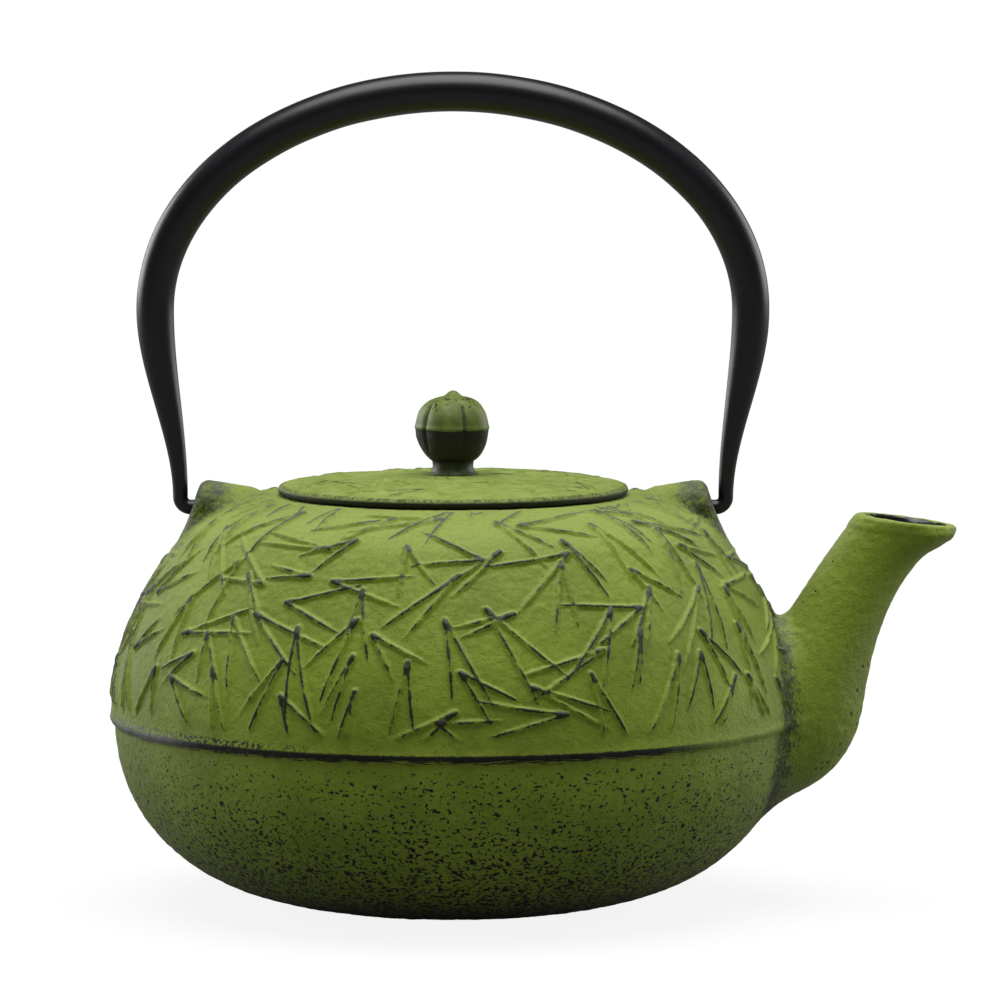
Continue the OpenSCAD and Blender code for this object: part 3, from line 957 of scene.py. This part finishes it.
def make_pot(paint, enamel):
    """The casting: its smooth surface, then needles, sandy grain, pits and a worn seam on it"""
    mesh = rough_pot_mesh()
    points = settle(pot_distance, get_points(mesh), 3)
    parts = pot_parts(points)
    change = slope(pot_distance, points)
    normal = change / np.linalg.norm(change, axis=1)[:, None]
    is_outer = ease(-0.3, 0.5, parts["outside"] + parts["inside"])
    near_hole = 1 - ease(0.6, 1.6, parts["hole"])
    ridge, stain = pot_needles(points)
    off_parts = ease(1.5, 5, parts["spout"]) * ease(0.6, 2.2, parts["lug"])
    on_bowl = off_parts * is_outer * (1 - near_hole)
    ridge *= on_bowl
    stain *= on_bowl
    x, y, z = points.T
    reach = np.hypot(x, y)
    grain = 0.10 * sand(points, 1.2, 3) + 0.05 * sand(points, 2.6, 5) + 0.12 * sand(points, 14, 8)
    lower = ease(SEAM_H - 1, SEAM_H - 5, z)
    pits = -0.16 * ease(0.25, 0.7, sand(points * (0.6, 0.6, 1.4), 1.7, 12)) * lower
    seam_wear = -0.25 * ease(0.1, 0.6, sand(points, 5, 21)) * np.exp(-((z - SEAM_WEAR_H) / 1.0) ** 2)
    raised = ridge + (grain + pits + seam_wear) * is_outer * (1 - near_hole)
    raised *= ease(0.0, 1.2, z)
    set_points(mesh, (points + normal * raised[:, None]) * MM)
    # Where it stays dark: the spout's corner; the lugs' faces, with rubbed dark patches that are partly
    # painted shade; and painted shade at the lugs' foot and sides
    from_spout = np.exp(-(((parts["bowl"] - parts["spout"] + 2) / 6.5) ** 2)) * (x > 60)
    lug_corner_shade = np.exp(-(((parts["bowl"] - parts["lug"]) / 2.5) ** 2)) * (z > 80)
    off_face = reach - LUG_FACE_R - (PIVOT_H - z) * math.tan(LUG_FACE_LEAN)
    lug_face = ease(-1.6, -0.2, off_face) * (parts["lug"] < 0.4) * (z > 84)
    lug_side_shade = (parts["lug"] < 0.5) * ease(52, 60, reach) * ease(84, 90, z)
    rubbed_and_shade = np.maximum(0.6 * lug_corner_shade, np.maximum(0.95 * lug_face, 0.85 * lug_side_shade))
    wear_and_shade = np.maximum(0.9 * from_spout, rubbed_and_shade)
    store(mesh, "stain", stain)
    store(mesh, "wear_and_shade", wear_and_shade * is_outer)
    store(mesh, "spout", 1 - ease(0.5, 4, parts["spout"]))
    starts = np.empty(len(mesh.polygons), int)
    mesh.polygons.foreach_get("loop_start", starts)
    corner = np.empty(len(mesh.loops), int)
    mesh.loops.foreach_get("vertex_index", corner)
    inside_face = (parts["outside"] + parts["inside"])[corner[starts]] < 0
    mesh.polygons.foreach_set("material_index", inside_face.astype(int))
    nodes = [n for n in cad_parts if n.startswith("pot_")]
    piece_from_mesh("pot", mesh, "pot", nodes, [paint, enamel])


# ---------------------------------------------------------------------------
# The lid, its knob and their rivet
# ---------------------------------------------------------------------------
def make_lid(paint):
    """The lid's casting with its skirt, and needles in lower relief than the pot's"""
    top = curve(
        [(LID_R - LID_BEAD_R, MOUTH_H + 2 * LID_BEAD_R), (LID_R * 0.67, LID_TOP_H - 0.9),
         (LID_R * 0.3, LID_TOP_H), (RIVET_R + 0.08, LID_TOP_H)], 60
    )
    a = np.radians(np.linspace(-90, 75, 14))
    bead = np.stack([
        LID_R - LID_BEAD_R + LID_BEAD_R * np.cos(a), MOUTH_H + LID_BEAD_R * (1 + np.sin(a))
    ], axis=1)
    under = [
        (RIVET_R + 0.08, LID_TOP_H - LID_T), (WASHER_R + 2, LID_TOP_H - LID_T),
        (SKIRT_R - SKIRT_T - 1, MOUTH_H + 0.8), (SKIRT_R - SKIRT_T, SKIRT_LOW_H + 0.4),
        (SKIRT_R - SKIRT_T + 0.5, SKIRT_LOW_H), (SKIRT_R - 0.5, SKIRT_LOW_H),
        (SKIRT_R, SKIRT_LOW_H + 0.5), (SKIRT_R, MOUTH_H - 0.5), (SKIRT_R + 0.6, MOUTH_H)
    ]
    outline = np.vstack([under, bead, top])
    outline = even_outline(np.vstack([outline, outline[:1]]), 0.55)[:-1]
    around = 480
    points = spin(outline, around)
    faces = turned_faces(len(outline), around, closed=True)
    side = 100
    height, dark = lay_needles(
        (side, side), lambda v: 1.0, pairs=44, apart=7.5, seed=77, wraps=False
    )
    u = points[:, 0] + side / 2
    v = points[:, 1] + side / 2
    r = np.hypot(points[:, 0], points[:, 1])
    on_top = (points[:, 2] > MOUTH_H + 1.9) * (1 - ease(LID_R - 4, LID_R - 2.2, r))
    on_top *= ease(8, 10, r)
    ridge = look_up(height, (0, 0), CHART_CELL, u, v) * on_top
    stain = look_up(dark, (0, 0), CHART_CELL, u, v) * on_top
    outer = (points[:, 2] > MOUTH_H + 0.6) * ease(6, 8, r)
    grain = 0.06 * sand(points, 1.2, 31) + 0.08 * sand(points, 3.1, 32)
    points[:, 2] += ridge * 0.5 + grain * outer + LID_GAP
    lid = mesh_piece("lid", points, faces, "lid", ["lid", "lid_skirt"], [paint])
    store(lid.data, "stain", stain * 0.9)
    store(lid.data, "rim", ease(LID_R - 2.6, LID_R - 0.9, r))


def make_knob(paint):
    """A bud of five petals on a short foot, with a lip of flash along its parting line"""
    h = KNOB_FOOT_H
    foot = curve([(6.3, h), (5.2, h + 0.8), (5, h + 2.4), (5.4, h + 3.4)], 12)
    low = curve([(5.4, h + 3.4), (7.15, h + 4.4), (KNOB_R, h + 7.6), (KNOB_R, KNOB_PARTING_H)], 26)
    high = curve(
        [(KNOB_R, KNOB_PARTING_H), (KNOB_R, h + KNOB_H * 0.78), (6.7, h + KNOB_H - 1.9),
         (2.6, h + KNOB_H - 1.5)], 34
    )
    tip = curve(
        [(2.6, h + KNOB_H - 1.5), (1.6, h + KNOB_H - 1.0), (1.1, h + KNOB_H), (0.02, h + KNOB_H)], 10
    )
    outline = np.vstack([[(0.02, h)], foot, low[1:], high[1:], tip[1:]])
    outline = even_outline(outline, 0.35)
    around = 220
    points = spin(outline, around)
    faces = capped_faces(len(outline), around)
    a = np.arctan2(points[:, 1], points[:, 0])
    r = np.hypot(points[:, 0], points[:, 1])
    z = points[:, 2]
    # A groove between each two petals, deepest just above the widest part
    first_groove = math.radians(-70)
    turn = (a - first_groove) * KNOB_PETALS / (2 * math.pi)
    off_groove = np.abs(turn - np.round(turn)) * 2 * math.pi / KNOB_PETALS * KNOB_R
    groove = np.exp(-((off_groove / 0.75) ** 2))
    groove *= ease(h + 4.5, h + 8, z) * (1 - ease(h + KNOB_H - 4.5, h + KNOB_H - 2.4, z))
    lip = 0.22 * np.exp(-(((z - KNOB_PARTING_H - 0.5) / 0.55) ** 2))
    swell = 0.28 * np.cos(turn * 2 * math.pi + math.pi) * ease(h + 5, h + 10, z)
    swell *= 1 - ease(h + KNOB_H - 5, h + KNOB_H - 1, z)
    wobble = 0.06 * sand(points, 1.6, 51)
    gain = 1 + (lip + swell + wobble - 0.5 * groove) / np.maximum(r, 3)
    # Petal marks round the tip: shallow dimples, one to a petal
    mark_a = (turn - np.floor(turn) - 0.5) * 2 * math.pi / KNOB_PETALS
    mark = np.exp(-((mark_a * 5 / 1.5) ** 2) - ((r - 4.4) / 0.75) ** 2) * (z > h + KNOB_H - 4)
    points[:, 0] *= gain
    points[:, 1] *= gain
    points[:, 2] -= 0.3 * mark
    speck = ease(0.52, 0.7, sand(points * (1, 1, 1.6), 0.85, 57))
    high_specks = speck * ease(h + KNOB_H - 5.2, h + KNOB_H - 4.4, z) * (r > 3.4)
    seam_specks = speck * np.exp(-(((z - KNOB_PARTING_H - 0.1) / 0.4) ** 2))
    knob = mesh_piece("knob", points, faces, "knob", ["knob"], [paint])
    store(knob.data, "groove", groove)
    store(knob.data, "dots", np.maximum(0.7 * mark, np.maximum(high_specks, seam_specks)))


def make_rivet(steel_turned):
    """The rivet's domed head and its washer, under the lid"""
    around = 96
    top = LID_TOP_H - LID_T + LID_GAP - 0.1
    washer_low = top - 1
    head_low = washer_low - 1.6
    washer = even_outline(np.array([
        (RIVET_R, washer_low), (WASHER_R - 0.3, washer_low), (WASHER_R, washer_low + 0.25),
        (WASHER_R, top - 0.25), (WASHER_R - 0.3, top), (RIVET_R, top), (RIVET_R, washer_low)
    ], float), 0.5)[:-1]
    mesh_piece("knob_washer", spin(washer, around), turned_faces(len(washer), around, closed=True),
               "knob", ["knob_washer"], [steel_turned])
    a = np.radians(np.linspace(0, 90, 14))
    head = np.stack([4.5 * np.sin(a), washer_low - 0.3 - 1.3 * np.cos(a)], axis=1)
    outline = np.vstack([
        [(0.02, head_low)], head[1:], [(4.5, washer_low), (RIVET_R, washer_low)],
        [(RIVET_R, KNOB_FOOT_H + 9), (0.02, KNOB_FOOT_H + 9)]
    ])
    outline = even_outline(outline, 0.6)
    mesh_piece("knob_rivet", spin(outline, around), capped_faces(len(outline), around),
               "knob", ["knob_rivet"], [steel_turned])


# ---------------------------------------------------------------------------
# The bail
# ---------------------------------------------------------------------------
def bail_path():
    """Right half of the bail's middle line as (x, z), from its pin's tip to the top"""
    a = np.radians(np.linspace(0, 90, 13))
    pin = [(PIN_IN + 0.3 * k, PIVOT_H) for k in range(22)]
    hook = np.stack([HOOK_X + HOOK_R * np.sin(a), PIVOT_H + HOOK_R * (1 - np.cos(a))], axis=1)
    leg_low = (HOOK_X + HOOK_R, PIVOT_H + HOOK_R)
    leg = curve([leg_low, (leg_low[0], leg_low[1] + 16), (ARCH_R, ARCH_H - 16), (ARCH_R, ARCH_H)], 44)
    a = np.radians(np.linspace(0, 90, 70))
    arch = np.stack([ARCH_R * np.cos(a), ARCH_H + (BAIL_TOP_H - ARCH_H) * np.sin(a)], axis=1)
    return np.vstack([pin, hook, leg[1:], arch[1:]])


def bail_radius(z):
    """The bar is thin at its hooks and thickest at the top of its arch"""
    grown = ease(0, 1, (z - PIVOT_H - 2) / (ARCH_H - PIVOT_H - 2))
    return PIN_R + (BAIL_R - PIN_R) * grown + 0.3 * np.maximum(0, (z - ARCH_H) / (BAIL_TOP_H - ARCH_H))


def make_bail(paint):
    """The round bar, a little uneven from forging, with its two hooked ends"""
    half = bail_path()
    path = np.vstack([half * (-1, 1), half[::-1][1:]])
    along = np.gradient(path, axis=0)
    along /= np.linalg.norm(along, axis=1)[:, None]
    radius = bail_radius(path[:, 1])
    ends = np.minimum(np.arange(len(path)), np.arange(len(path))[::-1])
    radius *= np.interp(ends, [0, 1, 2], [0.72, 0.93, 1.0])
    around = 40
    a = np.linspace(0, 2 * math.pi, around, endpoint=False)
    points = np.empty((len(path), around, 3))
    points[:, :, 0] = path[:, 0][:, None] + radius[:, None] * np.cos(a) * along[:, 1][:, None]
    points[:, :, 1] = radius[:, None] * np.sin(a)
    points[:, :, 2] = path[:, 1][:, None] - radius[:, None] * np.cos(a) * along[:, 0][:, None]
    points = points.reshape(-1, 3)
    away = points - np.repeat(
        np.stack([path[:, 0], np.zeros(len(path)), path[:, 1]], axis=1), around, axis=0)
    forged = 1 + 0.012 * sand(points, 9, 61) * ease(110, 125, points[:, 2])
    points += away * (forged - 1)[:, None]
    faces = capped_faces(len(path), around)
    bail = mesh_piece("bail", points, faces, "handle", ["handle"], [paint])
    turn_faces_out(bail)


# ---------------------------------------------------------------------------
# The infuser
# ---------------------------------------------------------------------------
HOLE_SIDES = 8


def pierced_cells(corners, centres, hole_r, flat):
    """Faces and points of a sheet of four-cornered cells, each with a round hole.

    corners and centres are on the flat (u, v) sheet; flat takes them into space."""
    points = []
    faces = []
    for cell, centre in zip(corners, centres):
        base = len(points)
        edge = []
        for k in range(4):
            edge.append(cell[k])
            edge.append((cell[k] + cell[(k + 1) % 4]) / 2)
        for k in range(HOLE_SIDES):
            spoke = edge[k] - centre
            points.append(flat(edge[k]))
            points.append(flat(centre + spoke / np.hypot(*spoke) * hole_r))
        for k in range(HOLE_SIDES):
            m = (k + 1) % HOLE_SIDES
            faces.append((base + 2 * k, base + 2 * m, base + 2 * m + 1, base + 2 * k + 1))
    return points, faces


def thicken(piece, thickness):
    """Joins the cells' shared points and gives the sheet its thickness"""
    turn_faces_out(piece, merge=0.02)
    solid = piece.modifiers.new("sheet", "SOLIDIFY")
    solid.thickness = thickness * MM
    solid.offset = 0
    edges = piece.modifiers.new("corners", "EDGE_SPLIT")
    edges.split_angle = math.radians(50)


def make_infuser(sheet_steel, spun_steel):
    """The basket: a pierced wall and base, a spun rim and the band that ties wall and base"""
    top = FLANGE_H - COLLAR_DEPTH + SHEET
    pitch = 2.3
    wall_r = INFUSER_R - SHEET / 2
    columns = int(2 * math.pi * wall_r / pitch)
    rows = int((top - BASKET_H - BAND_H) / pitch)
    wide = 2 * math.pi * wall_r / columns
    tall = (top - BASKET_H - BAND_H) / rows
    corners = []
    centres = []
    for i in range(columns):
        for j in range(rows):
            u = i * wide
            v = BASKET_H + BAND_H + j * tall
            corners.append([np.array(c) for c in
                            ((u, v), (u + wide, v), (u + wide, v + tall), (u, v + tall))])
            centres.append(np.array((u + wide / 2, v + tall / 2)))

    def rolled(p):
        """A point of the flat wall, rolled round the basket"""
        a = p[0] / wall_r
        return (wall_r * math.cos(a), wall_r * math.sin(a), p[1])

    points, faces = pierced_cells(corners, centres, 0.7, rolled)
    # The plain strip behind the band at the foot of the wall
    base = len(points)
    for i in range(2 * columns):
        points += [rolled((i * wide / 2, BASKET_H)), rolled((i * wide / 2, BASKET_H + BAND_H))]
    for i in range(2 * columns):
        m = (i + 1) % (2 * columns)
        faces.append((base + 2 * i, base + 2 * m, base + 2 * m + 1, base + 2 * i + 1))
    wall = mesh_piece("infuser_wall", points, faces, "infuser",
                      ["infuser_wall"], [sheet_steel])
    thicken(wall, SHEET - 0.02)

    # The base: rows of cells bent from a square into a disc
    n = 30
    disc_r = INFUSER_R - SHEET - 0.05
    ticks = np.linspace(-1, 1, n + 1)

    def to_disc(s, t):
        """A point of the square from -1 to 1, moved to the disc"""
        return np.array((s * math.sqrt(1 - t * t / 2), t * math.sqrt(1 - s * s / 2))) * disc_r

    corners = []
    centres = []
    for i in range(n):
        for j in range(n):
            cell = [to_disc(ticks[i + a], ticks[j + b]) for a, b in ((0, 0), (1, 0), (1, 1), (0, 1))]
            corners.append(cell)
            centres.append(sum(cell) / 4)
    points, faces = pierced_cells(
        corners, centres, 0.62, lambda p: (p[0], p[1], BASKET_H + SHEET / 2))
    base = mesh_piece("infuser_base", points, faces, "infuser",
                      ["infuser_base"], [sheet_steel])
    thicken(base, SHEET - 0.02)

    # The spun rim: flange, rounded corner and collar
    a = np.radians(np.linspace(180, 90, 7))
    corner_r = 1.2
    outer = INFUSER_R
    bend = np.stack([outer + corner_r * (1 + np.cos(a)), FLANGE_H - corner_r + corner_r * np.sin(a)],
                    axis=1)
    over = corner_r + SHEET
    bend_top = np.stack([outer + corner_r + over * np.cos(a), FLANGE_H - corner_r + over * np.sin(a)],
                        axis=1)
    low = FLANGE_H - COLLAR_DEPTH + SHEET
    outline = np.vstack([
        [(outer - SHEET, low), (outer, low)], bend, [(SEAT_R - 0.9, FLANGE_H)],
        [(SEAT_R - 0.6, FLANGE_H + SHEET / 2), (SEAT_R - 0.9, FLANGE_H + SHEET)],
        bend_top[::-1], [(outer - SHEET, low)]
    ])
    outline = even_outline(outline, 0.6)[:-1]
    around = 200
    mesh_piece("infuser_rim", spin(outline, around), turned_faces(len(outline), around, closed=True),
               "infuser", ["infuser_rim"], [spun_steel])

    # The band that ties base and wall
    r = INFUSER_R
    outline = even_outline(np.array([
        (r - 3, BASKET_H - SHEET), (r + SHEET - 0.5, BASKET_H - SHEET),
        (r + SHEET, BASKET_H - SHEET + 0.5), (r + SHEET, BASKET_H + BAND_H - SHEET - 0.2),
        (r + SHEET - 0.2, BASKET_H + BAND_H - SHEET), (r, BASKET_H + BAND_H - SHEET),
        (r, BASKET_H), (r - 3, BASKET_H), (r - 3, BASKET_H - SHEET)
    ], float), 0.6)[:-1]
    mesh_piece("infuser_base_ring", spin(outline, around),
               turned_faces(len(outline), around, closed=True),
               "infuser", ["infuser_base_ring"], [spun_steel])


# ---------------------------------------------------------------------------
# Floor, light and camera
# ---------------------------------------------------------------------------
# The floor's radius, and its drop below the pot's base, both in metres
FLOOR_R = 40
FLOOR_DROP = 0.0002


def make_studio():
    """A white floor and room, and four wide soft lamps"""
    material, tree = new_material("white_paper_floor")
    # Lit from below like a light table, so it stays white and takes only a faint shadow
    seen = node(tree, "LightPath", {}, {}, take="Is Camera Ray")
    paper = lay_over(tree, seen, linear("#808080"), linear("#f2f2f2"))
    matt = node(tree, "BsdfDiffuse", {}, {"Color": paper})
    glow = node(tree, "Emission", {}, {"Color": (1, 1, 1, 1), "Strength": 1.0})
    share = work_out(tree, "MULTIPLY", seen, 0.88)
    mixed = node(tree, "MixShader", {}, {0: share, 1: matt, 2: glow})
    node(tree, "OutputMaterial", {}, {"Surface": mixed})
    bpy.ops.mesh.primitive_circle_add(vertices=64, radius=FLOOR_R, fill_type="NGON",
                                      location=(0, 0, -FLOOR_DROP))
    floor = bpy.context.active_object
    floor.name = "floor"
    floor.data.materials.append(material)

    world = bpy.data.worlds.new("white_room")
    world.use_nodes = True
    tree = world.node_tree
    tree.nodes.clear()
    seen = node(tree, "LightPath", {}, {}, take="Is Camera Ray")
    room = node(tree, "Background", {}, {"Color": (1, 1, 1, 1), "Strength": 0.1})
    paper = node(tree, "Background", {}, {"Color": (1, 1, 1, 1), "Strength": 1.0})
    mixed = node(tree, "MixShader", {}, {0: seen, 1: room, 2: paper})
    node(tree, "OutputWorld", {}, {"Surface": mixed})
    bpy.context.scene.world = world

    lamps = {
        # name: (direction it comes from, strength, how wide it looks in degrees, mirrored)
        "overhead": ((0.0, -0.12, 1.0), 3.3, 56, True),
        "front_card": ((-0.1, -1.0, 0.15), 0.42, 60, False),
        "left_window": ((-1.0, 0.6, 0.1), 2.7, 50, True),
        "right_window": ((1.0, 0.45, 0.15), 2.0, 50, True),
    }
    for name, (toward, strength, width, mirrored) in lamps.items():
        lamp = bpy.data.lights.new(name, "SUN")
        lamp.energy = strength
        lamp.angle = math.radians(width)
        holder = bpy.data.objects.new(name, lamp)
        bpy.context.scene.collection.objects.link(holder)
        holder.visible_glossy = mirrored
        holder.rotation_euler = Vector(toward).to_track_quat("Z", "Y").to_euler()


CAMERA_AWAY = 1.6
CAMERA_UP = math.radians(5.2)
CAMERA_LENS = 225
VIEW_X = 12.0
VIEW_H = 103.6


def make_camera():
    """A long lens in front of the pot, looking a little down"""
    data = bpy.data.cameras.new("camera")
    data.lens = CAMERA_LENS
    data.sensor_width = 36
    data.clip_end = 200
    camera = bpy.data.objects.new("camera", data)
    bpy.context.scene.collection.objects.link(camera)
    camera.location = (
        VIEW_X * MM, -CAMERA_AWAY * math.cos(CAMERA_UP), VIEW_H * MM + CAMERA_AWAY * math.sin(CAMERA_UP)
    )
    camera.rotation_euler = (math.pi / 2 - CAMERA_UP, 0, 0)
    bpy.context.scene.camera = camera


make_camera()
make_studio()
bpy.context.scene.view_settings.view_transform = "Standard"

make_pot(green_paint_on_iron(), black_enamel())
make_lid(green_lid_paint())
make_knob(knob_paint())
make_rivet(steel("zinc_plated_steel", "#b4b4ae", "#8d8d88", 0.35, (1, 1, 1)))
make_bail(black_stoved_steel())
make_infuser(
    steel("perforated_stainless_sheet", "#c9c9c6", "#a9a9a6", 0.28, (0.2, 0.2, 2)),
    steel("spun_stainless", "#d2d2cf", "#b2b2af", 0.22, (0.15, 0.15, 2)),
)
